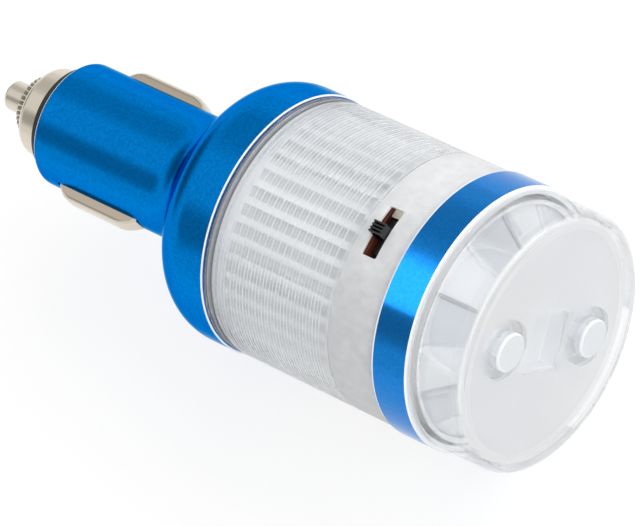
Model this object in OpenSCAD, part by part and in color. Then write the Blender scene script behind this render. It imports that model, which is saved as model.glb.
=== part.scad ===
// Rechargeable socket lamp: a lighter plug with a bell, a ribbed side lantern and a torch head.
// X runs along the axis from the nose (negative) to the lamp face (positive), Z points at the switch,
// and the origin is on the axis where the straight barrel ends and the bell begins to flare.

/* [Barrel] */
// Outer radius of the plug barrel
barrel_r = 10.4; // [10:0.1:10.8]
// Length of the straight barrel, from its mouth to the flare
barrel_len = 25; // [24:0.5:32]
// Wall of the turned barrel and bell
shell_wall = 1.4; // [1.1:0.1:1.7]
// Rounding on the mouth of the barrel
mouth_round = 0.6; // [0.3:0.1:0.9]

/* [Bell] */
// Outer radius of the bell at its front edge
bell_r = 21.45; // [20.5:0.05:23]
// Radius of the hollow curve that flares out of the barrel
flare_r = 10; // [9:0.5:12]
// Radius of the rounded shoulder of the bell
shoulder_r = 8; // [7:0.5:9]
// Length of the straight side of the bell
bell_side = 4.7; // [4:0.1:8]
// Bevel on the polished edges of the bell and the trim ring
edge_bevel = 0.35; // [0.2:0.05:0.5]

/* [Side contacts] */
// Length of each contact strip's raised part
contact_len = 16.6; // [14:0.2:18]
// Width of each contact strip
contact_w = 3.4; // [2.6:0.1:3.8]
// Height of each contact's crest above the axis
contact_top = 12.1; // [11.6:0.1:12.6]
// Rounding of a contact's end towards the nose
contact_rear = 3.8; // [3.4:0.1:4.4]
// Rounding of a contact's end towards the bell
contact_front = 5.7; // [4.8:0.1:6.4]
// Thickness of the contact's sheet
contact_t = 0.6; // [0.4:0.1:0.8]
// Distance from the front end of the contacts to the flare
contact_back = 4; // [3.4:0.1:5]
// Inward travel of each contact
contact_travel = 1.3; // [0.8:0.1:1.4]

/* [Nose] */
// Radius of the smooth collar of the nose nut
collar_r = 7.5; // [7:0.1:8]
// Length of the collar in front of the barrel mouth
collar_len = 7; // [6:0.2:9]
// Rounding of the collar's shoulder
collar_round = 2.6; // [1.5:0.1:2.8]
// Outer radius of the knurled ring
knurl_r = 5.1; // [4.8:0.1:5.4]
// Length of the knurled ring
knurl_len = 2.3; // [1.5:0.1:3.5]
// Number of teeth on the knurled ring
knurl_teeth = 36; // [24:2:44]
// Radius of the centre contact
tip_r = 2.5; // [2.2:0.1:2.8]
// Inward travel of the centre contact
tip_travel = 2.4; // [1.5:0.1:2.8]
// Length of the centre contact that still stands out when it is pushed in
tip_left = 2.9; // [2:0.1:4]
// Outer radius of the nose nut's thread
thread_r = 5; // [4.8:0.1:5.4]
// Length of the nose nut's thread
thread_len = 6; // [5.5:0.5:8]

/* [Fuse] */
// Radius of the fuse's glass
fuse_r = 2.5; // [2.4:0.05:2.6]
// Length of the fuse
fuse_len = 20; // [18:1:20]
// Length of each fuse cap
fuse_cap_len = 5; // [4:0.5:6]
// Turns of the fuse spring
spring_turns = 6; // [4:1:9]
// Wire radius of the fuse spring
spring_wire = 0.3; // [0.2:0.05:0.4]

/* [Lantern] */
// Step down from the bell to the ribbed lens tube
lens_step = 0.35; // [0.2:0.05:0.8]
// Wall of the lens tube and the switch collar
lens_wall = 1.8; // [1.5:0.1:2]
// Distance from one lens rib to the next
rib_pitch = 1.27; // [1:0.01:1.6]
// Depth of the grooves between the ribs
rib_depth = 0.22; // [0.1:0.02:0.4]
// Gap between the lens tube and the fluted diffuser sleeve
sleeve_gap = 0.7; // [0.5:0.1:1.4]
// Number of flutes round the diffuser sleeve
flutes = 40; // [30:2:60]
// Depth of each flute
flute_depth = 0.6; // [0.3:0.1:0.9]
// Wall of the diffuser sleeve, measured to its outer radius
sleeve_wall = 1.7; // [1.4:0.1:2.2]

/* [Switch] */
// Length of the frosted switch collar
collar_band = 8.8; // [8:0.1:11]
// Length of the switch window round the collar
window_len = 8.4; // [8:0.1:9]
// Width of the switch window along the axis
window_w = 2.8; // [2.4:0.1:3.2]
// Size of the switch housing along the axis
housing_w = 3.2; // [3:0.1:3.6]
// Size of the switch housing across the axis
housing_len = 12.8; // [12:0.1:13.2]
// Length of the housing's own slot, in which the knob slides
slot_len = 7.2; // [7:0.1:7.8]
// Thickness of the brown laminate behind the slot
laminate_t = 1.2; // [0.8:0.1:1.4]
// Wall of the collar over the switch housing
switch_lid = 0.6; // [0.5:0.05:0.8]
// Travel of the knob each way from the middle
knob_travel = 2; // [1.2:0.1:2.1]
// Length of the knob along the axis
knob_w = 2.4; // [2:0.1:2.4]
// Width of the knob across the axis
knob_len = 2; // [1.6:0.1:2.4]
// Height of the knob above the collar
knob_rise = 1.6; // [0.8:0.1:2]

/* [Head] */
// Step up from the switch collar to the trim ring
ring_step = 0.4; // [0.2:0.05:0.8]
// Length of the trim ring
ring_len = 6.6; // [6:0.1:9]
// Wall of the trim ring
ring_wall = 1.2; // [0.9:0.1:1.4]
// Step down from the trim ring to the clear front cap
cap_step = 0.6; // [0.3:0.05:0.9]
// Length of the cap in front of the trim ring
cap_len = 10.2; // [9.8:0.1:14]
// Wall of the front cap
cap_wall = 1.4; // [1.2:0.1:1.8]
// Rounding of the cap's front edge
cap_round = 1.3; // [0.8:0.1:1.6]
// Side of the square lens block moulded inside the cap
block_side = 9.4; // [8:0.2:10]
// Distance from the axis to the centre of each magnet
magnet_orbit = 10.45; // [10:0.05:11]
// Radius of each magnet
magnet_r = 3.1; // [2.6:0.1:3.4]
// Thickness of each magnet
magnet_t = 3; // [2:0.2:3]
// Height of the magnets above the cap's face
magnet_proud = 0.4; // [0.2:0.1:0.8]
// Wall of the boss round each magnet
boss_wall = 1.5; // [1.1:0.1:1.7]
// Turn of the magnets round the axis
magnet_angle = 122; // [110:1:135]
// Number of ribs on the reflector's skirt
skirt_ribs = 14; // [10:1:20]
// Radius of the reflector's mouth
mouth_r = 13; // [12:0.2:13.6]

/* [Cells and boards] */
// Radius of each rechargeable cell
cell_r = 5.1; // [4.8:0.1:5.2]
// Length of each rechargeable cell, which sets the length of the lantern
cell_len = 30; // [26:0.5:36]
// How far the cells reach back inside the bell
cell_reach = 6.9; // [6:0.1:8]
// Thickness of the circuit boards
board_t = 1.2; // [1:0.1:1.6]
// Distance from the axis to the posts that carry the charging board
post_orbit = 11.3; // [10.5:0.1:12]
// Radius of each post
post_r = 1.6; // [1.4:0.1:2]
// Gap between the charging board and the cells
board_gap = 2; // [1.5:0.1:3]
// Radius of the choke on the charging board
choke_r = 2; // [1.5:0.1:2.5]
// Length of the choke
choke_len = 5.5; // [4:0.5:6]
// Radius of the capacitor on the charging board
can_r = 2.4; // [2:0.1:2.6]
// Length of the capacitor
can_len = 3.2; // [2:0.2:5]
// Side of the largest package on the charging board
chip_side = 4; // [3:0.2:4.4]
// Height of that package
chip_t = 1.6; // [1:0.1:2]

/* [Hidden] */

$fn = 96;
tiny = 0.01;
fit = 0.1;          // gap between seated round parts
run = 0.08;         // running clearance on the radius
slot_gap = 0.3;     // gap at the ends of a slot
leaf_t = 0.3;       // thickness of a leaf spring
tab_t = 0.4;        // thickness of nickel and brass strip
strip_w = 1.8;      // width of the leaf springs and the earth strips

shoulder_x = sqrt(pow(flare_r + shoulder_r, 2) - pow(bell_r - shoulder_r - barrel_r - flare_r, 2));
bell_x = shoulder_x + bell_side;
cells_x = bell_x - cell_reach;
cells_end = cells_x + cell_len;
plate_in = 1.6;     // depth of the front plate inside the tube
sleeve_end = cells_end + tab_t + fit;
band_x = sleeve_end + plate_in;
lens_len = band_x - bell_x;
ring_x = band_x + collar_band;
cap_x = ring_x + ring_len;
face_x = cap_x + cap_len;
mouth_x = -barrel_len;

bore_r = barrel_r - shell_wall;
core_r = bore_r - fit;
core_front = mouth_x + slot_gap;
thread_x = core_front + thread_len;
fuse_bore = fuse_r + 0.45;
contact_x = -contact_back - contact_len;
foot_len = 1;
rear_run = 3.2;     // length of a contact's rounded end towards the nose
front_run = 3.8;    // length of its rounded end towards the bell
foot_top = core_r - 0.3;
foot_under = foot_top - contact_t - 0.1;
pocket_floor = foot_under - contact_travel - leaf_t - 0.3;

strip_lap = 3;

dome_x = core_front - collar_len;
knurl_x = dome_x - knurl_len;
tip_x = knurl_x - tip_travel - tip_left;
chamber_r = thread_r - 1.4;
chamber_x = dome_x - 0.3;
washer_t = 0.8;
flange_t = 0.8;
flange_x = chamber_x + washer_t;
fuse_x = flange_x + flange_t;
fuse_end = fuse_x + fuse_len;
core_back = 2.6;
stud_head = 0.5;
stud_x = core_back - stud_head - 1.1;
stud_r = 1.2;

lens_r = bell_r - lens_step;
lens_in = lens_r - lens_wall;
sleeve_r = lens_in - sleeve_gap;
ring_r = lens_r + ring_step;
cap_r = ring_r - cap_step;
spigot_r = bell_r - shell_wall - fit;
spigot_len = 4;
ledge_x = bell_x + 0.2;
plate_r = lens_in - fit;
rear_t = 2.5;
sleeve_x = ledge_x + rear_t;
collar_spigot_r = lens_in - fit;
collar_spigot_in = collar_spigot_r - 1.4;
collar_spigot_x = sleeve_end + fit;
front_r = collar_spigot_in - fit;

cell_orbit = (cell_r + fit) * 2 / sqrt(3);
cell_button_r = 1.8;
cell_button = 0.8;  // height of the button on a cell's front end
column_in = cell_orbit + cell_r + 0.4;
column_t = 1;
column_out = column_in + column_t;
board_x = cells_x - tab_t - board_gap - board_t;
board_r = post_orbit + post_r + fit;
post_turns = [60, 180, 300];
cell_turns = [0, 120, 240];
screw_r = post_r / 2;

ring_in = ring_r - ring_wall;
head_spigot_r = ring_in - fit;
collar_rim = 3;     // reach of the collar into the trim ring
skirt_gap = 0.9;    // gap between the cap's wall and the reflector's skirt
flange_back = ring_x + collar_rim;
flange_front = flange_back + 0.9;
cap_spigot_x = flange_front;
skirt_r = cap_r - cap_wall - skirt_gap;
mouth_front = cap_x + 4.5;
light_board_x = ring_x + 0.1;
throat_r = 4.2;
torch_rim = 3.6;
throat_x = light_board_x + board_t + 0.2;
bowl_focus = (mouth_r * mouth_r - throat_r * throat_r) / (4 * (mouth_front - throat_x));
bowl_x = mouth_front - mouth_r * mouth_r / (4 * bowl_focus);

window_x = band_x + 3.3;
window_end = 4.4;   // side of the window towards +Y
slot_mid = -0.3;    // middle of the housing's slot
knob_y = 0.15;      // place of the knob at rest
housing_h = 4;
housing_wall = 0.7;
housing_lid = 0.4;
housing_top = sqrt(pow(lens_r - switch_lid, 2) - pow(housing_len / 2 - slot_mid, 2)) - fit;
housing_z = housing_top - housing_h;
housing_x = window_x - window_w / 2 + 0.2;
laminate_x = housing_x - laminate_t;
laminate_lap = 0.3; // length of the laminate's raised edge beyond each end of the window
laminate_top = sqrt(pow(lens_r - switch_lid, 2) - pow(window_end + laminate_lap, 2)) - fit;
slider_t = 0.8;
knob_top = lens_r + knob_rise;
ridges = 4;

function parab(r) = bowl_x + r * r / (4 * bowl_focus);
function arc(cx, cy, r, a0, a1, n) =
    [for (i = [0 : n]) let (a = a0 + (a1 - a0) * i / n) [cx + r * cos(a), cy + r * sin(a)]];
function ring_of(n, r) = [for (i = [0 : n - 1]) [r * cos(360 * i / n), r * sin(360 * i / n)]];

// turns a profile of [radius, x] points round the X axis
module turned() {
    rotate([0, 90, 0]) rotate_extrude() children();
}

// round bar along X from x0, h long
module bar(x0, r, h) {
    translate([x0, 0, 0]) rotate([0, 90, 0]) cylinder(r = r, h = h);
}

// repeats a piece round the axis, at the given angles and distance
module at_turns(angles, orbit) {
    for (a = angles) rotate([a, 0, 0]) translate([0, orbit, 0]) children();
}

// pushes a [y, z] outline along X
module along_x(x0, h) {
    translate([x0, 0, 0]) rotate([90, 0, 90]) linear_extrude(height = h) children();
}

// outline of barrel and bell, grown outwards by g, from x0 to x1
module shell_outline(g, x0, x1) {
    flare = flare_r - g;
    shoulder = shoulder_r + g;
    centre_r = bell_r - shoulder_r;
    lean = atan2(barrel_r + flare_r - centre_r, shoulder_x);
    touch = [barrel_r + flare_r - flare * sin(lean), flare * cos(lean)];
    difference() {
        union() {
            translate([0, x0]) square([barrel_r + g, -x0 + tiny]);
            polygon([[0, 0], [barrel_r + g, 0], touch, [centre_r, shoulder_x],
                     [bell_r + g, shoulder_x], [bell_r + g, x1], [0, x1]]);
            intersection() {
                translate([centre_r, shoulder_x]) circle(r = shoulder);
                translate([0, shoulder_x - shoulder]) square([bell_r + g, shoulder]);
            }
        }
        translate([barrel_r + flare_r, 0]) circle(r = flare);
    }
}

// takes the sharp corner off a turned edge at radius r and place x, facing way -1 or 1
module edge_cut(r, x, way, size) {
    polygon([[r - size, x + way * tiny], [r + tiny, x + way * tiny], [r + tiny, x - way * size]]);
}

module body_shell() {
    color("dodgerblue") difference() {
        turned() difference() {
            shell_outline(0, mouth_x, bell_x);
            shell_outline(-shell_wall, mouth_x - 1, bell_x + 1);
            edge_cut(bell_r, bell_x, 1, edge_bevel);
            difference() {
                translate([barrel_r - mouth_round, mouth_x - tiny]) square([mouth_round + tiny, mouth_round]);
                translate([barrel_r - mouth_round, mouth_x + mouth_round]) circle(r = mouth_round);
            }
        }
        for (side = [-1, 1]) translate([contact_x - slot_gap, side * barrel_r, 0])
            translate([0, -shell_wall - 1, -contact_w / 2 - fit])
                cube([contact_len + 2 * slot_gap, 2 * shell_wall + 2, contact_w + 2 * fit]);
    }
}

// black moulding that fills the barrel and carries every contact
module insulator_core() {
    color("black") difference() {
        bar(core_front, core_r, core_back - core_front);
        bar(core_front - 1, thread_r + fit, thread_len + 1 + fit);
        bar(core_front, fuse_bore, stud_x + stud_head - core_front);
        bar(0, stud_r + run, core_back + 1);
        for (side = [0, 180]) rotate([side, 0, 0]) {
            translate([contact_x - foot_len - slot_gap, pocket_floor, -contact_w / 2 - 0.2])
                cube([contact_len + 2 * foot_len + 2 * slot_gap, core_r, contact_w + 0.4]);
            translate([-contact_back - strip_lap, pocket_floor - tab_t, -strip_w / 2 - fit])
                cube([core_back + contact_back + strip_lap + 1, tab_t + tiny, strip_w + 2 * fit]);
        }
    }
}

module nose_nut() {
    tooth = 360 / knurl_teeth;
    color("silver") difference() {
        union() {
            turned() difference() {
                translate([0, dome_x]) square([collar_r, collar_len]);
                difference() {
                    translate([collar_r - collar_round, dome_x - tiny]) square([collar_round + tiny, collar_round]);
                    translate([collar_r - collar_round, dome_x + collar_round]) circle(r = collar_round);
                }
            }
            along_x(knurl_x, knurl_len + tiny)
                polygon([for (i = [0 : 2 * knurl_teeth - 1]) let (r = i % 2 == 0 ? knurl_r : knurl_r - 0.3)
                         [r * cos(i * tooth / 2), r * sin(i * tooth / 2)]]);
            bar(core_front - tiny, thread_r, thread_len);
        }
        bar(knurl_x - 1, tip_r + run, knurl_len + collar_len);
        bar(chamber_x, chamber_r, thread_x - chamber_x + 1);
    }
}

module pin_washer() {
    color("saddlebrown") difference() {
        bar(chamber_x, chamber_r - fit, washer_t);
        bar(chamber_x - 1, tip_r + run, washer_t + 2);
    }
}

module centre_contact() {
    color("silver") {
        turned() difference() {
            translate([0, tip_x]) square([tip_r, flange_x - tip_x + tiny]);
            difference() {
                translate([tip_r - 0.7, tip_x - tiny]) square([0.7 + tiny, 0.7]);
                translate([tip_r - 0.7, tip_x + 0.7]) circle(r = 0.7);
            }
        }
        bar(flange_x, chamber_r - 2 * fit, flange_t);
    }
}

module fuse_glass() {
    color("lightcyan") difference() {
        bar(fuse_x + 0.3, fuse_r - 0.1, fuse_len - 0.6);
        bar(fuse_x + 0.2, fuse_r - 0.6, fuse_len - 0.4);
    }
}

module fuse_caps() {
    color("silver") for (x = [fuse_x, fuse_end - fuse_cap_len]) difference() {
        bar(x, fuse_r + 0.1, fuse_cap_len);
        bar(x == fuse_x ? x + 0.3 : x - 1, fuse_r - 0.1, fuse_cap_len + 1 - 0.3);
    }
}

// helical wire between x0 and x1 with closed centre line radius r
module coil(x0, x1, r, wire, turns) {
    steps = turns * 16;
    sides = 6;
    ring = [for (i = [0 : steps]) let (a = 360 * turns * i / steps, x = x0 + (x1 - x0) * i / steps)
            for (j = [0 : sides - 1]) let (b = 360 * j / sides, q = r + wire * cos(b))
            [x + wire * sin(b), q * cos(a), q * sin(a)]];
    wall = [for (i = [0 : steps - 1]) for (j = [0 : sides - 1]) let (k = (j + 1) % sides)
            [i * sides + j, i * sides + k, (i + 1) * sides + k, (i + 1) * sides + j]];
    first = [for (j = [0 : sides - 1]) sides - 1 - j];
    last = [for (j = [0 : sides - 1]) steps * sides + j];
    polyhedron(points = ring, faces = concat(wall, [first], [last]), convexity = 8);
}

module fuse_spring() {
    color("silver")
        coil(fuse_end + spring_wire, stud_x - spring_wire, fuse_r - spring_wire, spring_wire, spring_turns);
}

module fuse_stud() {
    color("gold") {
        bar(stud_x, fuse_bore - fit, stud_head);
        bar(stud_x, stud_r, board_x - stud_x);
    }
}

// side view of a contact's outer face, x along the barrel and y away from the axis
function contact_edge(drop) = let (rear = contact_rear - drop, front = contact_front - drop) concat(
    [[contact_x - foot_len, foot_top - drop], [contact_x + drop, foot_top - drop]],
    arc(contact_x + rear_run, contact_top - contact_rear, rear, 180 - acos((rear_run - drop) / rear), 90, 8),
    arc(-contact_back - front_run, contact_top - contact_front, front, 90, acos((front_run - drop) / front), 8),
    [[-contact_back - drop, foot_top - drop], [-contact_back + foot_len, foot_top - drop]]);

module contact_bar() {
    difference() {
        translate([0, 0, -contact_w / 2]) linear_extrude(height = contact_w) polygon(concat(
            contact_edge(0), [[-contact_back + foot_len, foot_under], [contact_x - foot_len, foot_under]]));
        translate([0, 0, contact_t - contact_w / 2]) linear_extrude(height = contact_w - 2 * contact_t)
            polygon(concat(contact_edge(contact_t),
                [[-contact_back + foot_len + 1, foot_under - 1], [contact_x - foot_len - 1, foot_under - 1]]));
    }
}

module side_contact_left() {
    color("silver") contact_bar();
}

module side_contact_right() {
    color("silver") rotate([180, 0, 0]) contact_bar();
}

// arched strip that pushes a contact outwards
module leaf() {
    x0 = contact_x + 1.6;
    x1 = -contact_back - 1.2;
    rise = contact_top - contact_t - pocket_floor - 0.2;
    n = 14;
    function bow(s, lift) = [x0 + (x1 - x0) * s, pocket_floor + lift + (rise - leaf_t) * sin(180 * s)];
    top = [for (i = [0 : n]) bow(i / n, leaf_t)];
    under = [for (i = [n : -1 : 0]) bow(i / n, 0)];
    translate([0, 0, -strip_w / 2]) linear_extrude(height = strip_w) polygon(concat(top, under));
}

module leaf_spring_left() {
    color("gainsboro") leaf();
}

module leaf_spring_right() {
    color("gainsboro") rotate([180, 0, 0]) leaf();
}

module earth_strips() {
    color("gold") for (side = [0, 180]) rotate([side, 0, 0])
        translate([-contact_back - strip_lap, pocket_floor - tab_t, -strip_w / 2])
            cube([board_x + contact_back + strip_lap, tab_t, strip_w]);
}

module charge_board() {
    color("darkgreen") difference() {
        bar(board_x, board_r, board_t);
        at_turns(post_turns, post_orbit) bar(board_x - 1, screw_r + fit, board_t + 2);
    }
}

module board_parts() {
    chip = [chip_t, chip_side, 1.25 * chip_side];
    small = [0.7 * chip_t, 0.6 * chip_side, 0.7 * chip_side];
    color("dimgray") {
        translate([0, -choke_r, board_r - post_r - 1.8 * choke_r]) bar(board_x - choke_len, choke_r, choke_len);
        translate([0, can_r, post_r + can_r - post_orbit]) bar(board_x - can_len, can_r, can_len);
        translate([board_x - chip[0], post_r - post_orbit + 0.3, -1.6 * chip_side]) cube(chip);
        translate([board_x - small[0], 0.6 * post_orbit, small[2]]) cube(small);
    }
}

module board_screws() {
    color("silver") at_turns(post_turns, post_orbit) {
        bar(board_x - screw_r, 1.75 * screw_r, screw_r);
        bar(board_x - screw_r, screw_r, 2 * screw_r + board_t + 2);
    }
}

// white disc that seats the cells, with three posts back to the charging board
module rear_plate() {
    color("white") difference() {
        union() {
            bar(ledge_x, plate_r, rear_t);
            at_turns(post_turns, post_orbit)
                bar(board_x + board_t, post_r, ledge_x - board_x - board_t + tiny);
        }
        at_turns(cell_turns, cell_orbit) bar(ledge_x - 1, cell_r + fit, rear_t + 2);
        bar(ledge_x - 1, cell_orbit / 2 + 0.4, rear_t + 2);
        at_turns(post_turns, post_orbit) bar(board_x + 1, screw_r + fit, board_t + 2.2);
    }
}

module cells() {
    color("seagreen") at_turns(cell_turns, cell_orbit) {
        bar(cells_x, cell_r, cell_len - cell_button);
        bar(cells_x, cell_button_r, cell_len);
    }
}

module cell_tabs() {
    half_w = cell_button_r + 0.6;
    color("gainsboro") for (x = [cells_x - tab_t, cells_end]) difference() {
        bar(x, cell_orbit + half_w, tab_t);
        bar(x - 1, cell_orbit - half_w, tab_t + 2);
    }
}

module lantern_board() {
    color("white") along_x(sleeve_x, sleeve_end - sleeve_x) difference() {
        polygon(ring_of(6, column_out / cos(30)));
        polygon(ring_of(6, column_in / cos(30)));
    }
}

module lantern_lights() {
    light = [2.8, 0.9, 3.5];
    in_row = 3;
    step = (sleeve_end - sleeve_x) / in_row;
    color("khaki") for (a = [30 : 60 : 330]) for (i = [0 : in_row - 1])
        rotate([a, 0, 0])
            translate([sleeve_x + step * (i + 0.5) - light[0] / 2, column_out, -light[2] / 2]) cube(light);
}

// one trapezoid flute every 360 / flutes degrees
module diffuser_sleeve() {
    step = 360 / flutes;
    root = sleeve_r - flute_depth;
    flute = [[0, sleeve_r], [0.42, sleeve_r], [0.5, root], [0.92, root]];
    color("white") along_x(sleeve_x, sleeve_end - sleeve_x) difference() {
        polygon([for (i = [0 : flutes - 1]) for (p = flute)
                 [p[1] * cos(step * (i + p[0])), p[1] * sin(step * (i + p[0]))]]);
        circle(r = sleeve_r - sleeve_wall);
    }
}

// clear tube with fine ribs outside and two deeper grooves beside the bell
module lens_tube() {
    ribs = floor((sleeve_end - sleeve_x) / rib_pitch);
    first = sleeve_x + (sleeve_end - sleeve_x - ribs * rib_pitch) / 2;
    half = 0.16;
    grooves = [[0.45, 1], [1.45, 2.2]];
    groove_depth = 0.4;
    spigot_t = spigot_r - lens_in + 1.1;
    color("azure") turned() difference() {
        union() {
            translate([lens_in, bell_x]) square([lens_wall, lens_len]);
            translate([spigot_r - spigot_t, bell_x - spigot_len])
                square([spigot_t, ledge_x - bell_x + spigot_len]);
        }
        for (i = [0 : ribs]) let (x = first + i * rib_pitch)
            polygon([[lens_r + tiny, x - half], [lens_r - rib_depth, x], [lens_r + tiny, x + half]]);
        for (g = grooves) translate([lens_r - groove_depth, bell_x + g[0]]) square([1, g[1] - g[0]]);
    }
}

// black disc at the front end of the cells, with a hollow post out to the torch board
module front_plate() {
    post_out = 5;
    wire_r = 3;
    color("black") difference() {
        union() {
            bar(sleeve_end, front_r, plate_in);
            bar(sleeve_end, post_out, light_board_x - sleeve_end);
        }
        bar(sleeve_end - 1, wire_r, light_board_x - sleeve_end + 2);
    }
}

module switch_collar() {
    lip = 1.4;
    slope = 1;
    color("whitesmoke") difference() {
        turned() polygon([
            [collar_spigot_r, collar_spigot_x], [collar_spigot_r, band_x], [lens_r, band_x], [lens_r, ring_x],
            [head_spigot_r, ring_x], [head_spigot_r, flange_back], [lens_in - lip, flange_back],
            [lens_in - lip, ring_x - slope / 2], [lens_in, ring_x - 1.5 * slope], [lens_in, band_x + slope],
            [collar_spigot_in, band_x], [collar_spigot_in, collar_spigot_x]]);
        translate([window_x - window_w / 2, window_end - window_len, housing_top])
            cube([window_w, window_len, lens_r]);
        intersection() {
            bar(band_x, lens_r - switch_lid, collar_band);
            translate([laminate_x - fit, slot_mid - housing_len / 2 - fit, housing_z - fit])
                cube([laminate_t + housing_w + 2 * fit, housing_len + 2 * fit, lens_r]);
        }
    }
}

// pale box under the window, open on the side of the laminate, with a slot in its lid for the knob
module switch_housing() {
    inner_w = housing_w - housing_wall;
    color("oldlace") translate([housing_x, slot_mid, housing_z]) difference() {
        translate([0, -housing_len / 2, 0]) cube([housing_w, housing_len, housing_h]);
        translate([-1, housing_wall - housing_len / 2, housing_wall])
            cube([inner_w + 1, housing_len - 2 * housing_wall, housing_h - housing_lid - housing_wall]);
        translate([-1, -slot_len / 2, housing_h / 2]) cube([inner_w + 1, slot_len, housing_h]);
    }
}

// brown laminate on edge, which closes the housing's open side and carries the pins
module switch_base() {
    edge_y = window_end - window_len - laminate_lap;
    color("sienna") translate([laminate_x, 0, housing_z]) {
        translate([0, slot_mid - housing_len / 2, 0]) cube([laminate_t, housing_len, housing_h]);
        translate([0, edge_y, 0]) cube([laminate_t, window_len + 2 * laminate_lap, laminate_top - housing_z]);
    }
}

module switch_pins() {
    pin_t = 0.4;
    pin_w = 1;
    pin_len = 2.4;
    color("silver") for (y = [-3, 0, 3])
        translate([laminate_x + (laminate_t - pin_t) / 2, slot_mid + y - pin_w / 2, housing_z - pin_len])
            cube([pin_t, pin_w, pin_len]);
}

// slider under the housing's lid and the ridged block that stands up through the window
module switch_knob() {
    side_gap = 0.1;
    plate_len = housing_len - 2 * housing_wall - 2 * knob_travel - 1.4;
    plate_w = housing_w - housing_wall - 2 * side_gap;
    plate_z = housing_top - housing_lid - slider_t - fit;
    stem_w = window_x + knob_w / 2 - housing_x - side_gap;
    ridge_w = 0.3;
    ridge_h = 0.3;
    block_top = knob_top - ridge_h;
    ridge_step = (knob_len - ridge_w) / (ridges - 1);
    color("black") translate([housing_x + side_gap, knob_y, 0]) {
        translate([0, -plate_len / 2, plate_z]) cube([plate_w, plate_len, slider_t]);
        translate([0, -knob_len / 2, plate_z]) cube([stem_w, knob_len, block_top - plate_z]);
        translate([stem_w - knob_w, -knob_len / 2, laminate_top + fit])
            cube([knob_w, knob_len, block_top - laminate_top - fit]);
        for (i = [0 : ridges - 1]) translate([stem_w - knob_w, i * ridge_step - knob_len / 2, block_top - tiny])
            cube([knob_w, ridge_w, ridge_h + tiny]);
    }
}

module trim_ring() {
    color("dodgerblue") turned() difference() {
        translate([ring_in, ring_x]) square([ring_wall, ring_len]);
        edge_cut(ring_r, ring_x, -1, edge_bevel);
        edge_cut(ring_r, cap_x, 1, edge_bevel);
    }
}

// plated bowl with a ribbed skirt behind the clear cap
module reflector() {
    t = 1.1;
    n = 14;
    rib_w = 0.6;
    rib_h = 0.9;
    rib_in = 0.4;
    bowl = [for (i = [0 : n]) let (r = throat_r + (mouth_r - throat_r) * i / n) [r, parab(r)]];
    back = [for (i = [0 : n]) let (r = mouth_r - 1 - (mouth_r - 1 - throat_r) * i / n) [r + t, parab(r)]];
    run_x = mouth_front - cap_x;
    run_r = skirt_r - mouth_r;
    lean = atan2(run_r, run_x);
    slope = sqrt(run_x * run_x + run_r * run_r);
    color("lightgray") {
        turned() polygon(concat(bowl, [[skirt_r, cap_x], [skirt_r, flange_front], [head_spigot_r, flange_front],
            [head_spigot_r, flange_back], [skirt_r - t, flange_back], [skirt_r - t, cap_x - 0.5]], back));
        for (i = [0 : skirt_ribs - 1]) rotate([i * 360 / skirt_ribs, 0, 0])
            translate([cap_x, skirt_r, -rib_w / 2]) rotate([0, 0, -lean])
                translate([rib_in, -rib_in, 0]) cube([slope - 2 * rib_in, rib_h, rib_w]);
    }
}

module torch_board() {
    color("white") bar(light_board_x, throat_r + torch_rim, board_t);
}

// square light package with a round dome
module torch_light() {
    side = 5;
    package_t = 0.8;
    dome_r = 2;
    x = light_board_x + board_t;
    color("khaki") {
        translate([x, -side / 2, -side / 2]) cube([package_t, side, side]);
        turned() intersection() {
            translate([0, x + package_t]) circle(r = dome_r);
            translate([0, x + package_t / 2]) square([dome_r, dome_r + package_t / 2]);
        }
    }
}

module front_cap() {
    inner = cap_r - cap_wall;
    boss_r = magnet_r + fit + boss_wall;
    boss_x = face_x + magnet_proud - magnet_t - 1;
    block_h = 3.2;
    spigot_in = skirt_r + 0.15;
    color("aliceblue") difference() {
        union() {
            turned() difference() {
                union() {
                    translate([0, cap_x]) square([cap_r, cap_len]);
                    translate([spigot_in, cap_spigot_x])
                        square([head_spigot_r - spigot_in, cap_x - cap_spigot_x + tiny]);
                }
                translate([0, cap_x - tiny]) square([inner, cap_len - cap_wall]);
                difference() {
                    translate([cap_r - cap_round, face_x - cap_round]) square(cap_round + tiny);
                    translate([cap_r - cap_round, face_x - cap_round]) circle(r = cap_round);
                }
            }
            at_turns([magnet_angle, magnet_angle + 180], magnet_orbit)
                bar(boss_x, boss_r, face_x - cap_wall - boss_x + tiny);
            rotate([magnet_angle, 0, 0]) translate([face_x - cap_wall - block_h, -block_side / 2, -block_side / 2])
                cube([block_h + tiny, block_side, block_side]);
        }
        at_turns([magnet_angle, magnet_angle + 180], magnet_orbit)
            bar(face_x + magnet_proud - magnet_t, magnet_r + fit, magnet_t + 1);
    }
}

module magnet(a) {
    at_turns([a], magnet_orbit) bar(face_x + magnet_proud - magnet_t, magnet_r, magnet_t);
}

module magnet_left() {
    color("silver") magnet(magnet_angle);
}

module magnet_right() {
    color("silver") magnet(magnet_angle + 180);
}

body_shell();
insulator_core();
nose_nut();
pin_washer();
centre_contact();
fuse_glass();
fuse_caps();
fuse_spring();
fuse_stud();
side_contact_left();
side_contact_right();
leaf_spring_left();
leaf_spring_right();
earth_strips();
charge_board();
board_parts();
board_screws();
rear_plate();
cells();
cell_tabs();
lantern_board();
lantern_lights();
diffuser_sleeve();
lens_tube();
front_plate();
switch_collar();
switch_housing();
switch_base();
switch_pins();
switch_knob();
trim_ring();
reflector();
torch_board();
torch_light();
front_cap();
magnet_left();
magnet_right();
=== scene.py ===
import bpy
import bmesh
from math import atan2, cos, hypot, pi, radians, sin, sqrt, tan
from mathutils import Matrix, Vector


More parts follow.
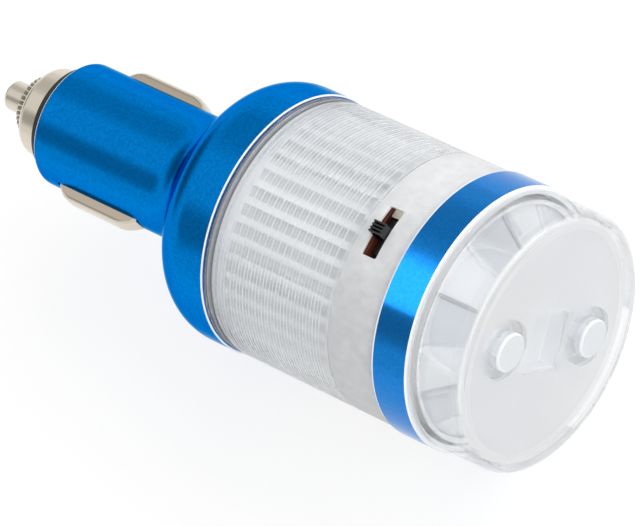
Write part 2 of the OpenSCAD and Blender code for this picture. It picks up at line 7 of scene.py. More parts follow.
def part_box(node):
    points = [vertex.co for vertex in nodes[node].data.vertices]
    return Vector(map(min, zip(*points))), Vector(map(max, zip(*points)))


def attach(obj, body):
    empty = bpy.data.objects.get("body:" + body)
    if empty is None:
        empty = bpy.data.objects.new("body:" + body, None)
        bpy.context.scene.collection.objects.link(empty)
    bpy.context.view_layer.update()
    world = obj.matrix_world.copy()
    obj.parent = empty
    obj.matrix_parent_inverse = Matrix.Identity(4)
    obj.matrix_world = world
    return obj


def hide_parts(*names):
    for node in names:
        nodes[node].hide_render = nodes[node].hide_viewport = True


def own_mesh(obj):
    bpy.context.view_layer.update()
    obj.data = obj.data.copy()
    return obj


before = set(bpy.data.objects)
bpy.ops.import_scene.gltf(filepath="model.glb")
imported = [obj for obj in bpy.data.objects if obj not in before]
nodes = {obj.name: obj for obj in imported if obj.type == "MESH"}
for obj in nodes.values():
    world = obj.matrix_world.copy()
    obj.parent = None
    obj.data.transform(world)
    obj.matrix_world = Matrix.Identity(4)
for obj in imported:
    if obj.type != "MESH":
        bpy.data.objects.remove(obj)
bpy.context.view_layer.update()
mm = 0.001
print("frame loaded:", len(nodes), "nodes")


def boxOf(node):  # a node's lowest and highest corners, in millimetres
    lo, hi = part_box(node)
    return lo / mm, hi / mm


def spanOf(node):  # where a node starts and ends along the axis, and its radius, in millimetres
    lo, hi = boxOf(node)
    return lo.x, hi.x, hi.y


mouthX, bellX, bellR = spanOf("body_shell")
ringX, capX, ringR = spanOf("trim_ring")
faceX, capR = spanOf("front_cap")[1:]
lensBackX, bandX, lensR = spanOf("lens_tube")
sleeveX, sleeveEnd, sleeveR = spanOf("diffuser_sleeve")

# mesh helpers


def addPiece(name, verts, faces, creaseAngle=32):
    mesh = bpy.data.meshes.new(name)
    mesh.from_pydata([Vector(v) * mm for v in verts], [], faces)
    piece = bpy.data.objects.new(name, mesh)
    bpy.context.scene.collection.objects.link(piece)
    faceOut(piece)
    soften(piece, creaseAngle)
    return piece


def faceOut(piece):
    bm = bmesh.new()
    bm.from_mesh(piece.data)
    bmesh.ops.recalc_face_normals(bm, faces=bm.faces)
    bm.to_mesh(piece.data)
    bm.free()


def soften(piece, creaseAngle=32):  # smooth shading, with edges above the angle kept sharp
    piece.data.shade_smooth()
    piece.data.set_sharp_from_angle(angle=radians(creaseAngle))


def bake(piece):  # applies the modifiers
    graph = bpy.context.evaluated_depsgraph_get()
    mesh = bpy.data.meshes.new_from_object(piece.evaluated_get(graph))
    piece.modifiers.clear()
    piece.data = mesh


def carve(piece, cutter, way="DIFFERENCE"):
    cut = piece.modifiers.new("carve", "BOOLEAN")
    cut.operation = way
    cut.solver = "EXACT"
    cut.object = cutter
    bake(piece)
    bpy.data.objects.remove(cutter)
    soften(piece)


def addBevel(piece, width, segments, angle, harden):
    bevel = piece.modifiers.new("edges", "BEVEL")
    bevel.width = width * mm
    bevel.segments = segments
    bevel.limit_method = "ANGLE"
    bevel.angle_limit = radians(angle)
    bevel.harden_normals = harden


def bevelEdges(piece, width, segments=3, angle=35):
    addBevel(piece, width, segments, angle, False)
    bake(piece)
    soften(piece, 40)


def joinInto(piece, *others):  # adds the other meshes to the piece
    bm = bmesh.new()
    bm.from_mesh(piece.data)
    for other in others:
        bm.from_mesh(other.data)
        bpy.data.objects.remove(other)
    bm.to_mesh(piece.data)
    bm.free()
    soften(piece)


def filleted(corners, steps=6):  # rounds a closed outline's corners; a corner is (x, r) or (x, r, fillet)
    line = []
    count = len(corners)
    for i, corner in enumerate(corners):
        here = Vector(corner[:2])
        fillet = corner[2] if len(corner) > 2 else 0
        if not fillet:
            line.append(tuple(here))
            continue
        back = Vector(corners[i - 1][:2]) - here
        ahead = Vector(corners[(i + 1) % count][:2]) - here
        half = back.angle(ahead) / 2
        reach = min(fillet / tan(half), 0.49 * back.length, 0.49 * ahead.length)
        centre = here + (back.normalized() + ahead.normalized()).normalized() * reach / cos(half)
        start = here + back.normalized() * reach - centre
        end = here + ahead.normalized() * reach - centre
        turn = atan2(start.x * end.y - start.y * end.x, start.dot(end))
        for k in range(steps + 1):
            a = turn * k / steps
            x = centre.x + start.x * cos(a) - start.y * sin(a)
            r = centre.y + start.x * sin(a) + start.y * cos(a)
            line.append((x, r))
    return line


def arcLine(cx, cy, r, start, end, steps):  # points on an arc, angles in degrees
    angles = [radians(q) for q in spread(start, end, steps)]
    return [(cx + r * cos(a), cy + r * sin(a)) for a in angles]


def spread(start, end, steps):  # evenly spaced values from start to end
    return [start + (end - start) * k / steps for k in range(steps + 1)]


# turns (x, radius) points round the X axis; ripple(x, radius, angle) moves a point outwards
def turned(name, outline, sides=192, ripple=None, closed=True, creaseAngle=32):
    verts, rings, faces = [], [], []
    for x, r in outline:
        if r < 1e-4:
            rings.append([len(verts)])
            verts.append((x, 0, 0))
            continue
        rings.append(range(len(verts), len(verts) + sides))
        for k in range(sides):
            a = 2 * pi * k / sides
            q = r + (ripple(x, r, a) if ripple else 0)
            verts.append((x, q * cos(a), q * sin(a)))
    for one, two in zip(rings, rings[1:] + (rings[:1] if closed else [])):
        for k in range(sides):
            j = (k + 1) % sides
            if len(one) > 1 and len(two) > 1:
                faces.append((one[k], one[j], two[j], two[k]))
            elif len(two) > 1:
                faces.append((one[0], two[j], two[k]))
            elif len(one) > 1:
                faces.append((one[k], one[j], two[0]))
    return addPiece(name, verts, faces, creaseAngle)


# a skin over sections with as many points each; looped joins the last to the first
def lofted(name, rings, creaseAngle=32, looped=False):
    count = len(rings[0])
    last = (len(rings) - 1) * count
    verts = [v for ring in rings for v in ring]
    faces = []
    for i in range(len(rings) if looped else len(rings) - 1):
        here = i * count
        there = (i + 1) % len(rings) * count
        for k in range(count):
            j = (k + 1) % count
            faces.append((here + k, here + j, there + j, there + k))
    if not looped:
        faces += [tuple(range(count)), tuple(range(last + count - 1, last - 1, -1))]
    return addPiece(name, verts, faces, creaseAngle)


def block(name, lo, hi, edge=0.0):  # a box between two corners, with its edges rounded
    x0, y0, z0 = lo
    x1, y1, z1 = hi
    piece = lofted(name, [[(x, y0, z0), (x, y1, z0), (x, y1, z1), (x, y0, z1)] for x in (x0, x1)])
    if edge:
        bevelEdges(piece, edge)
    return piece


def rollBy(piece, degrees):  # turns a piece about the X axis
    piece.data.transform(Matrix.Rotation(radians(degrees), 4, "X"))


def moveOut(piece, distance, degrees):  # moves a piece off the axis, then turns it about the axis
    piece.data.transform(Matrix.Translation(Vector((0, distance, 0)) * mm))
    rollBy(piece, degrees)


def placeOf(face):  # a face's place along the axis and its distance from the axis, in millimetres
    return face.center.x / mm, hypot(face.center.y, face.center.z) / mm


def finishPiece(piece, body, slot, *replaced):
    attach(piece, body)
    if replaced:
        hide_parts(*replaced)


# material helpers


def newMaterial(name, colour, roughness, metal=0.0, **sockets):
    mat = bpy.data.materials.new(name)
    mat.use_nodes = True
    shader = mat.node_tree.nodes["Principled BSDF"]
    shader.inputs["Base Color"].default_value = (*colour, 1)
    shader.inputs["Roughness"].default_value = roughness
    shader.inputs["Metallic"].default_value = metal
    for socket, value in sockets.items():
        shader.inputs[socket.replace("_", " ")].default_value = value
    return mat


def nodeIn(owner, kind, **values):
    node = owner.node_tree.nodes.new("ShaderNode" + kind)
    for key, value in values.items():
        if key in node.inputs:
            node.inputs[key].default_value = value
        else:
            setattr(node, key, value)
    return node


def link(owner, start, end):
    owner.node_tree.links.new(start, end)


def noiseIn(mat, scale, stretch, detail):  # noise in object coordinates, stretched
    place = nodeIn(mat, "TexCoord")
    mapping = nodeIn(mat, "Mapping", Scale=stretch)
    noise = nodeIn(mat, "TexNoise", Scale=scale, Detail=detail, Roughness=0.6)
    link(mat, place.outputs["Object"], mapping.inputs["Vector"])
    link(mat, mapping.outputs["Vector"], noise.inputs["Vector"])
    return noise.outputs["Fac"]


def addGrain(mat, scale, depth, stretch=(1, 1, 1), detail=3):  # a noise bump; depth in millimetres
    bump = nodeIn(mat, "Bump", Strength=1.0, Distance=depth * mm)
    link(mat, noiseIn(mat, scale, stretch, detail), bump.inputs["Height"])
    link(mat, bump.outputs["Normal"], mat.node_tree.nodes["Principled BSDF"].inputs["Normal"])


# noise between two values or colours; span is the part of the noise that they share
def addMottle(mat, socket, low, high, scale, stretch=(1, 1, 1), detail=4, span=(0.35, 0.65)):
    ramp = nodeIn(mat, "ValToRGB")
    for element, value, place in zip(ramp.color_ramp.elements, (low, high), span):
        element.color = (*value, 1) if isinstance(value, tuple) else (value, value, value, 1)
        element.position = place
    link(mat, noiseIn(mat, scale, stretch, detail), ramp.inputs["Fac"])
    link(mat, ramp.outputs["Color"], mat.node_tree.nodes["Principled BSDF"].inputs[socket])


# clear plastic doesn't hold back the lamps' light; bareShare is the share that it doesn't bend
def letLampsThrough(mat, bareShare=0.0):
    tree = mat.node_tree
    path = nodeIn(mat, "LightPath")
    bare = nodeIn(mat, "BsdfTransparent", Color=(0.97, 0.975, 0.98, 1))
    share = nodeIn(mat, "Math", operation="MAXIMUM")
    share.inputs[1].default_value = bareShare
    mix = nodeIn(mat, "MixShader")
    link(mat, path.outputs["Is Shadow Ray"], share.inputs[0])
    link(mat, share.outputs[0], mix.inputs[0])
    link(mat, tree.nodes["Principled BSDF"].outputs[0], mix.inputs[1])
    link(mat, bare.outputs[0], mix.inputs[2])
    link(mat, mix.outputs[0], tree.nodes["Material Output"].inputs["Surface"])


def paint(piece, *mats):
    piece.data.materials.clear()
    for mat in mats:
        piece.data.materials.append(mat)


# metals

blue = {"roughness": 0.17, "dark": (0.0, 0.175, 0.55), "light": (0.002, 0.225, 0.68), "grain": 0.0025,
        "edgeTint": (0.15, 0.52, 0.82, 1)}
turnedBlue = {"roughness": 0.13, "dark": (0.008, 0.19, 0.58), "light": (0.012, 0.22, 0.65), "grain": 0.0012,
              "edgeTint": (0.9, 0.95, 1.0, 1)}
blueAnodised = newMaterial("blue_anodised", blue["light"], blue["roughness"], 1.0,
                           Specular_Tint=blue["edgeTint"])
addMottle(blueAnodised, "Base Color", blue["dark"], blue["light"], 2200)
addGrain(blueAnodised, 2600, blue["grain"])
blueSmooth = newMaterial("blue_anodised_turned", turnedBlue["light"], turnedBlue["roughness"], 1.0,
                         Specular_Tint=turnedBlue["edgeTint"])
addMottle(blueSmooth, "Base Color", turnedBlue["dark"], turnedBlue["light"], 1800)
addGrain(blueSmooth, 1500, turnedBlue["grain"])
# bare metal on the cut edges of bell and ring, and a painted highlight on the mouth's rim and on the magnets'
# edges and sides
cutEdgeAndHighlight = newMaterial("cut_edge_and_painted_highlight", (0.93, 0.95, 0.97), 0.35, 0.45)
addGrain(cutEdgeAndHighlight, 1500, 0.001, (6, 0.3, 0.3))

nickelTone = {"crown": (0.7, 0.64, 0.54), "side": (0.55, 0.475, 0.385), "valley": (0.3, 0.27, 0.23),
              "magnet": (0.75, 0.78, 0.8)}
nickel = newMaterial("nickel", nickelTone["crown"], 0.14, 1.0)
addMottle(nickel, "Roughness", 0.1, 0.2, 350)
addGrain(nickel, 900, 0.002)
# painted shade for the contacts' sides
shadedSideNickel = newMaterial("nickel_side_painted_shade", nickelTone["side"], 0.22, 1.0)
addGrain(shadedSideNickel, 500, 0.006, (0.2, 1, 1))
valleyNickel = newMaterial("nickel_in_shade", nickelTone["valley"], 0.3, 0.9)
addGrain(valleyNickel, 900, 0.002)
magnetNickel = newMaterial("magnet_nickel", nickelTone["magnet"], 0.3, 1.0)
addGrain(magnetNickel, 800, 0.002)
springSteel = newMaterial("spring_steel", (0.5, 0.5, 0.5), 0.28, 1.0)
addGrain(springSteel, 700, 0.002)
brass = newMaterial("brass", (0.72, 0.5, 0.2), 0.28, 1.0)
addMottle(brass, "Roughness", 0.2, 0.4, 300)

# the panel and rib tones are a painted reflection of the room on the reflector's cone
plate = {"mirror": (0.8, 0.81, 0.825), "panel": (0.64, 0.66, 0.69), "rib": (0.46, 0.47, 0.5), "metal": 0.3}
mirrorPlate = newMaterial("mirror_plate", plate["mirror"], 0.3, plate["metal"])
addGrain(mirrorPlate, 90, 0.012, detail=2)
panelPaintedReflection = newMaterial("panel_painted_reflection", plate["panel"], 0.32, plate["metal"])
addGrain(panelPaintedReflection, 90, 0.012, detail=2)
ribPaintedReflection = newMaterial("rib_plate", plate["rib"], 0.35, plate["metal"])
addGrain(ribPaintedReflection, 300, 0.006)

# opaque plastics and boards

blackPlastic = newMaterial("black_plastic", (0.012, 0.012, 0.014), 0.42)
addGrain(blackPlastic, 1400, 0.004)
knobPlastic = newMaterial("knob_plastic", (0.018, 0.018, 0.02), 0.3)
addGrain(knobPlastic, 1800, 0.003)
laminate = newMaterial("brown_laminate", (0.13, 0.03, 0.012), 0.45)
addMottle(laminate, "Base Color", (0.045, 0.009, 0.005), (0.19, 0.045, 0.016), 1100, (1, 0.25, 1))
addGrain(laminate, 900, 0.03, (1, 0.3, 1))
creamPlastic = newMaterial("cream_plastic", (0.78, 0.72, 0.6), 0.4)
addMottle(creamPlastic, "Base Color", (0.74, 0.68, 0.56), (0.84, 0.79, 0.68), 400)
addGrain(creamPlastic, 1200, 0.004)
diffuserPlastic = newMaterial("diffuser_plastic", (0.86, 0.88, 0.9), 0.4)
# a painted highlight on the collar window's edge, and a painted light band on the cap's foot
paintedEdgeLight = newMaterial("painted_edge_light", (0.95, 0.955, 0.96), 0.3)
addGrain(paintedEdgeLight, 1300, 0.004)
boardGreen = newMaterial("board_green", (0.01, 0.12, 0.04), 0.35, Coat_Weight=0.5)
addMottle(boardGreen, "Base Color", (0.008, 0.1, 0.03), (0.015, 0.17, 0.06), 500)
boardWhite = newMaterial("board_white", (0.85, 0.86, 0.87), 0.4)
addGrain(boardWhite, 900, 0.004)
componentGrey = newMaterial("component_grey", (0.05, 0.05, 0.055), 0.45)
addGrain(componentGrey, 1000, 0.004)
cellWrap = newMaterial("cell_wrap", (0.02, 0.22, 0.12), 0.3, Coat_Weight=0.6)
addMottle(cellWrap, "Base Color", (0.015, 0.19, 0.1), (0.03, 0.26, 0.15), 60, (0.2, 1, 1))
phosphor = newMaterial("phosphor", (0.9, 0.68, 0.16), 0.3, Coat_Weight=1.0)
addMottle(phosphor, "Base Color", (0.85, 0.6, 0.12), (0.95, 0.78, 0.3), 700)

# clear and frosted plastics

clear = {"tint": (0.997, 0.999, 1.0), "roughness": 0.035, "bend": 1.49, "lensBare": 0.35, "capBare": 0.6}
milky = {"colour": (0.96, 0.97, 0.99), "roughness": 0.4, "through": 0.55, "bare": 0.12}
frost = {"dark": (0.79, 0.8, 0.815), "light": (0.93, 0.935, 0.94), "roughness": 0.42, "through": 0.3,
         "grain": 0.02}


def clearMaterial(name, colour, roughness, through):
    return newMaterial(name, colour, roughness, IOR=clear["bend"], Transmission_Weight=through)


clearPlastic = clearMaterial("clear_plastic", clear["tint"], clear["roughness"], 1.0)
addGrain(clearPlastic, 120, 0.003, detail=1)
letLampsThrough(clearPlastic, clear["lensBare"])
clearCap = clearMaterial("clear_cap_plastic", clear["tint"], clear["roughness"], 1.0)
addGrain(clearCap, 120, 0.003, detail=1)
letLampsThrough(clearCap, clear["capBare"])
grooveFrost = clearMaterial("matt_groove", (0.86, 0.875, 0.89), 0.45, 0.45)
letLampsThrough(grooveFrost, 0.1)
grooveShade = clearMaterial("shaded_step", (0.22, 0.23, 0.25), 0.4, 0.3)
addGrain(grooveShade, 900, 0.003)
milkyFace = clearMaterial("frosted_lens_face", milky["colour"], milky["roughness"], milky["through"])
addGrain(milkyFace, 500, 0.004, detail=2)
letLampsThrough(milkyFace, milky["bare"])
rimBand = clearMaterial("frosted_rim", (0.97, 0.975, 0.98), 0.4, 0.5)
addGrain(rimBand, 500, 0.004, detail=2)
letLampsThrough(rimBand)
frostedPlastic = clearMaterial("frosted_plastic", frost["dark"], frost["roughness"], frost["through"])
addMottle(frostedPlastic, "Base Color", frost["dark"], frost["light"], 520, detail=8, span=(0.3, 0.7))
addGrain(frostedPlastic, 1300, frost["grain"], detail=4)
letLampsThrough(frostedPlastic)
fuseGlass = newMaterial("fuse_glass", (0.98, 0.99, 1.0), 0.02, IOR=1.5, Transmission_Weight=1.0)
letLampsThrough(fuseGlass)
print("materials made:", len(bpy.data.materials))

# barrel and bell

# the last entry sets how far the mouth's painted highlight reaches along the axis
shell = {"barrelR": 10.4, "wall": 1.4, "mouthRound": 0.6, "innerRound": 0.12, "flareR": 10.0,
         "shoulderR": 8.0, "bevel": 0.2, "mouthHighlight": 0.4}
slotCut = {"back": -3.7, "front": -20.9, "halfWidth": 1.8, "fromR": 7, "toR": 13, "round": 0.25}


def shellLine(grow, steps):  # the line of flare and shoulder, grown outwards
    flareC = shell["barrelR"] + shell["flareR"]
    centreR = bellR - shell["shoulderR"]
    reach = shell["flareR"] + shell["shoulderR"]
    shoulderX = sqrt(reach ** 2 - (flareC - centreR) ** 2)
    lean = atan2(flareC - centreR, shoulderX) * 180 / pi
    flare = arcLine(0, flareC, shell["flareR"] - grow, -90, -lean, steps)
    shoulder = arcLine(shoulderX, centreR, shell["shoulderR"] + grow, 180 - lean, 90, steps)
    return flare + shoulder[1:]


def buildShell():
    barrelR, wall, bevel = shell["barrelR"], shell["wall"], shell["bevel"]
    mouth = filleted([
        (mouthX, barrelR - wall, shell["innerRound"]), (mouthX, barrelR, shell["mouthRound"]),
        (0, barrelR)], 8)
    barrel = [(x, barrelR) for x in spread(mouthX + 1.5, -1, 12)]
    edge = [(bellX - bevel, bellR), (bellX - bevel * 0.1, bellR - bevel * 0.9), (bellX, bellR - bevel * 1.2),
            (bellX, bellR - wall)]
    inside = list(reversed(shellLine(-wall, 20)))
    piece = turned("bodyShell", mouth[:-1] + barrel + shellLine(0, 28) + edge + inside, 256)
    half = slotCut["halfWidth"]
    for way in (-1, 1):
        low, high = sorted((way * slotCut["fromR"], way * slotCut["toR"]))
        near, far = (slotCut["front"], low, -half), (slotCut["back"], high, half)
        carve(piece, block("slot", near, far, slotCut["round"]))
    paint(piece, blueAnodised, cutEdgeAndHighlight)
    for face in piece.data.polygons:  # the cut edge of the bell is left bright, and the mouth's rim carries a painted highlight
        x, r = placeOf(face)
        atBevel = x > bellX - bevel and r > bellR - 1.3 * bevel
        atMouth = x < mouthX + shell["mouthHighlight"] and r > barrelR - wall + 0.1
        face.material_index = 1 if atBevel or atMouth else 0
    finishPiece(piece, "root", "blue_anodised", "body_shell")


buildShell()

# trim ring, with the places of what seats under it

ringShape = {"wall": 1.2, "bevel": 0.2, "backLength": 0.34, "backDepth": 0.12, "spigotIn": 1.3,
             "collarIn": 3.0, "capIn": 3.9}
spigotR = ringR - ringShape["spigotIn"]
collarFront = ringX + ringShape["collarIn"]
capBack = ringX + ringShape["capIn"]


def buildRing():
    wall, bevel = ringShape["wall"], ringShape["bevel"]
    start = ringX + ringShape["backLength"]
    outline = [(ringX, ringR - wall), (ringX, ringR - ringShape["backDepth"])]
    outline += [(x, ringR) for x in spread(start, capX - bevel, 6)]
    outline += [(capX, ringR - bevel), (capX, ringR - wall)]
    piece = turned("trimRing", outline, 256, creaseAngle=15)
    paint(piece, blueSmooth, cutEdgeAndHighlight)
    for face in piece.data.polygons:  # the cut edges are left bright
        x, r = placeOf(face)
        atBack = x < start - 0.1 and r > ringR - 0.1
        face.material_index = 1 if x > capX - 0.9 * bevel or atBack else 0
    finishPiece(piece, "root", "blue_anodised", "trim_ring")


buildRing()
print("anodised parts done")

# nose

nose = {"collarR": 7.5, "collarLen": 7.0, "shoulder": 2.6, "coreIn": 0.3,
        "knurlR": 5.1, "knurlLen": 2.3, "teeth": 36, "toothDepth": 0.34, "toothEdge": 0.35,
        "threadR": 5.0, "threadPitch": 1.0, "threadLen": 6.0, "threadDepth": 0.22,
        "chamberWall": 1.4, "chamberIn": 0.3, "tipR": 2.5, "tipRound": 0.7, "play": 0.08, "flangeIn": 0.8,
        "lipOut": 1.8, "lipGap": 0.15}
coreFront = mouthX + nose["coreIn"]
domeX = coreFront - nose["collarLen"]
knurlX = domeX - nose["knurlLen"]
threadX = coreFront + nose["threadLen"]
chamberX = domeX - nose["chamberIn"]
noseBore = nose["tipR"] + nose["play"]


def threadWave(x, r, a):  # a helix on the part that screws into the core
    if x > coreFront + 0.1 and r > nose["threadR"] - 0.5:
        return -nose["threadDepth"] * (1 + cos(2 * pi * x / nose["threadPitch"] - a))
    return 0


def knurlWave(x, r, a):  # rounded teeth, cut less deeply towards the ring's edges
    if r < nose["knurlR"] - 1:
        return 0
    inside = min(1, (x - knurlX) / nose["toothEdge"], (domeX - x) / nose["toothEdge"])
    tooth = (0.5 + 0.5 * cos(a * nose["teeth"])) ** 0.8
    return -nose["toothDepth"] * tooth * (0.35 + 0.65 * max(0, inside))


def knurlRing():
    knurlR = nose["knurlR"]
    outline = [(knurlX + 0.1, noseBore), (knurlX, noseBore + 0.1)]
    outline += [(knurlX, knurlR - 0.35), (knurlX + 0.08, knurlR - 0.12)]
    outline += [(x, knurlR) for x in spread(knurlX + 0.22, domeX - 0.05, 10)]
    outline += [(domeX + 0.05, knurlR - 0.2), (domeX + 0.35, knurlR - 0.6), (domeX + 0.35, noseBore)]
    return turned("knurl", outline, nose["teeth"] * 12, knurlWave, creaseAngle=60)


def buildNut():
    collarR, threadR, knurlR = nose["collarR"], nose["threadR"], nose["knurlR"]
    chamberR = threadR - nose["chamberWall"]
    outline = filleted([
        (domeX + 0.3, noseBore), (domeX, knurlR - 0.6, 0.2), (domeX, collarR, nose["shoulder"]),
        (coreFront, collarR, 0.25), (coreFront, threadR), (threadX, threadR, 0.4),
        (threadX, chamberR), (chamberX, chamberR), (chamberX, noseBore)], 12)
    threadRows = [(x, threadR) for x in spread(coreFront + 0.2, threadX - 0.4, 48)]
    cut = next(i for i, (x, r) in enumerate(outline) if x > coreFront + 1)
    piece = turned("noseNut", outline[:cut] + threadRows + outline[cut:], 192, threadWave)
    smooth = len(piece.data.polygons)
    joinInto(piece, knurlRing())
    paint(piece, nickel, valleyNickel)
    for face in piece.data.polygons:  # the valleys between the teeth lie in shade
        x, r = placeOf(face)
        inValley = knurlX + 0.06 < x < domeX and knurlR - 0.6 < r < knurlR - 0.3 * nose["toothDepth"]
        face.material_index = 1 if face.index >= smooth and inValley and abs(face.normal.x) < 0.5 else 0
    finishPiece(piece, "nut", "nickel", "nose_nut")


def buildPin():
    tipX, flangeEnd, flangeR = spanOf("centre_contact")
    flangeX, tipR = chamberX + nose["flangeIn"], nose["tipR"]
    outline = filleted([
        (tipX, 0), (tipX, tipR, nose["tipRound"]), (flangeX, tipR, 0.15), (flangeX, flangeR, 0.1),
        (flangeEnd, flangeR, 0.1), (flangeEnd, 0)], 10)
    piece = turned("centreContact", outline, 128, closed=False)
    paint(piece, nickel)
    finishPiece(piece, "pin", "nickel", "centre_contact")


def buildLip():  # the insulator's lip, black between the collar and the mouth
    inR, outR = nose["collarR"] + nose["lipGap"], shell["barrelR"] - shell["wall"] - 0.05
    start, end = mouthX - nose["lipOut"], coreFront + 0.05
    outline = filleted([(start, inR, 0.1), (start, outR, 0.25), (end, outR), (end, inR)], 5)
    piece = turned("insulatorLip", outline, 160)
    paint(piece, blackPlastic)
    finishPiece(piece, "root", "black_plastic")


buildNut()
buildPin()
buildLip()

# side contacts

contact = {"width": 3.4, "sheet": 0.6, "fold": 0.95, "crown": 0.1, "insideRound": 0.2,
           "foot": [(0, 8.6), (0.65, 8.62), (0.95, 8.9), (1.0, 9.6)], "backX": -21.6, "frontX": -3.0,
           "top": 12.08, "flat": (-14.4, -11.0), "backBend": (-17.4, 3.8), "frontBend": (-7.8, 5.7),
           "sideFrom": -20.2, "sideTo": -4.4}
contactFloor = boxOf("side_contact_left")[0].y


def contactLine():  # (x, height) points along the bent strip, from foot to foot
    top = contact["top"]
    backX, backR = contact["backBend"]
    frontX, frontR = contact["frontBend"]
    line = [(contact["backX"] + x, y) for x, y in contact["foot"]]
    line += arcLine(backX, top - backR, backR, 147, 92, 9)
    line += [(x, top) for x in contact["flat"]]
    line += arcLine(frontX, top - frontR, frontR, 90, 48, 9)
    line += [(contact["frontX"] - x, y) for x, y in reversed(contact["foot"])]
    return line


def curveThrough(points, count):  # a smooth line through the points, by Catmull-Rom
    line = []
    last = len(points) - 1
    for k in range(count + 1):
        t = last * k / count
        i = min(int(t), last - 1)
        t -= i
        p0, p1, p2, p3 = (Vector(points[max(0, min(last, i + j))]) for j in (-1, 0, 1, 2))
        twice = 2 * p1 + (p2 - p0) * t
        twice += (2 * p0 - 5 * p1 + 4 * p2 - p3) * t * t
        twice += (3 * p1 - p0 - 3 * p2 + p3) * t ** 3
        line.append(tuple(0.5 * twice))
    return line


def contactRing(x, top):  # the strip's section: rounded shoulders, a slight crown, open below
    half = contact["width"] / 2
    drop = min(contact["fold"], max(0.05, (top - contactFloor) * 0.5))
    angles = [radians(q) for q in range(0, 90, 15)]
    outer = [(half, contactFloor)] + [(half - drop * (1 - cos(a)), top - drop * (1 - sin(a))) for a in angles]
    crown = contact["crown"] * min(1, max(0, (top - 9) / 2))
    flat = half - drop
    outer += [(flat * s, top - crown * (flat * s / half) ** 2) for s in (1, 0.66, 0.33, 0, -0.33, -0.66)]
    outer += [(-z, y) for z, y in reversed(outer[:8])]
    wall, small = half - contact["sheet"], contact["insideRound"]
    roof = max(contactFloor, top - contact["sheet"])
    side = max(contactFloor, roof - small)
    inner = [(-wall, contactFloor), (-wall, side), (-wall + small, roof), (wall - small, roof), (wall, side),
             (wall, contactFloor)]
    return [(x, y, z) for z, y in outer + inner]


def buildContact(name, body, node, degrees):
    piece = lofted(name, [contactRing(x, top) for x, top in curveThrough(contactLine(), 110)], 40)
    paint(piece, nickel, shadedSideNickel)
    for face in piece.data.polygons:  # painted shade: the sides are darker and a little rougher than the crown
        spot = face.center / mm
        along = contact["sideFrom"] < spot.x < contact["sideTo"] and spot.y > contactFloor + 0.3
        face.material_index = 1 if along and abs(face.normal.z) > 0.9 else 0
    rollBy(piece, degrees)
    finishPiece(piece, body, "nickel", node)


buildContact("sideContactLeft", "contact_left", "side_contact_left", 0)
buildContact("sideContactRight", "contact_right", "side_contact_right", 180)
print("nose and contacts done")

# lens tube

lens = {"wall": 1.8, "pitch": 1.27, "depth": 0.15, "halfGroove": 0.13, "crown": 0.03,
        "landPoints": (0.2, 0.43, 0.57, 0.8), "grooves": [(0.45, 1.0), (1.45, 2.2)], "grooveDepth": 0.3,
        "grooveSlope": 0.06, "spigotR": 19.95, "spigotStep": 1.1}
lensIn = lensR - lens["wall"]


def lensRibs(first, count):  # the outer line: narrow cut grooves with slightly crowned lands between
    half, low = lens["halfGroove"], lensR - lens["depth"]
    land = lens["pitch"] - 2 * half
    crowned = [(half + land * s, lensR + lens["crown"] * (4 * s * (1 - s) - 1)) for s in lens["landPoints"]]
    line = []
    for i in range(count + 1):
        x = first + i * lens["pitch"]
        line += [(x - half, lensR - 0.01), (x - half * 0.25, low)]
        line += [(x + half * 0.25, low), (x + half, lensR - 0.01)]
        if i < count:
            line += [(x + along, r) for along, r in crowned]
    return line


def buildLens():
    count = int((sleeveEnd - sleeveX) // lens["pitch"])
    first = sleeveX + (sleeveEnd - sleeveX - count * lens["pitch"]) / 2
    deep, slope = lensR - lens["grooveDepth"], lens["grooveSlope"]
    stepR, spigot = lensIn - lens["spigotStep"], lens["spigotR"]
    outline = [(lensBackX, stepR), (lensBackX, spigot - 0.15), (lensBackX + 0.15, spigot)]
    outline += [(bellX + 0.01, spigot), (bellX + 0.02, lensR - 0.12), (bellX + 0.12, lensR)]
    for start, end in lens["grooves"]:
        outline += [(bellX + start, lensR), (bellX + start + slope, deep)]
        outline += [(bellX + end - slope, deep), (bellX + end, lensR)]
    outline += lensRibs(first, count)
    outline += [(bandX - 0.1, lensR), (bandX, lensR - 0.1), (bandX, lensIn), (bellX, lensIn), (bellX, stepR)]
    piece = turned("lensTube", outline, 256, creaseAngle=40)
    paint(piece, clearPlastic, grooveFrost, grooveShade)
    lands = [first + (i + 0.5) * lens["pitch"] for i in range(count)]
    for face in piece.data.polygons:  # the grooves and each land's middle are matt, the flange's steps dark
        x, r = placeOf(face)
        cut = deep - 0.02 < r < lensR - 0.01 and (r < lensR - 0.05 or abs(face.normal.x) > 0.2)
        onLand = r > lensR - 0.05 and min(abs(x - land) for land in lands) < 0.02
        step = bellX + 0.3 < x < bellX + 2.5 and r < lensR - 0.02 and face.normal.x > 0.5
        matt = onLand or cut and bellX + 0.3 < x < bandX - 0.2
        face.material_index = 2 if step else 1 if matt else 0
    finishPiece(piece, "root", "clear_plastic", "lens_tube")


buildLens()

# fluted sleeve

# the valley colour is painted shade between the flutes
sleeve = {"flutes": 40, "depth": 0.6, "wall": 1.7, "crest": 0.36, "slope": 0.06, "edge": 0.12,
          "valleyShadeColour": (0.69, 0.705, 0.72, 1), "crestColour": (0.87, 0.88, 0.89, 1)}
fluteRoot = sleeveR - sleeve["depth"]


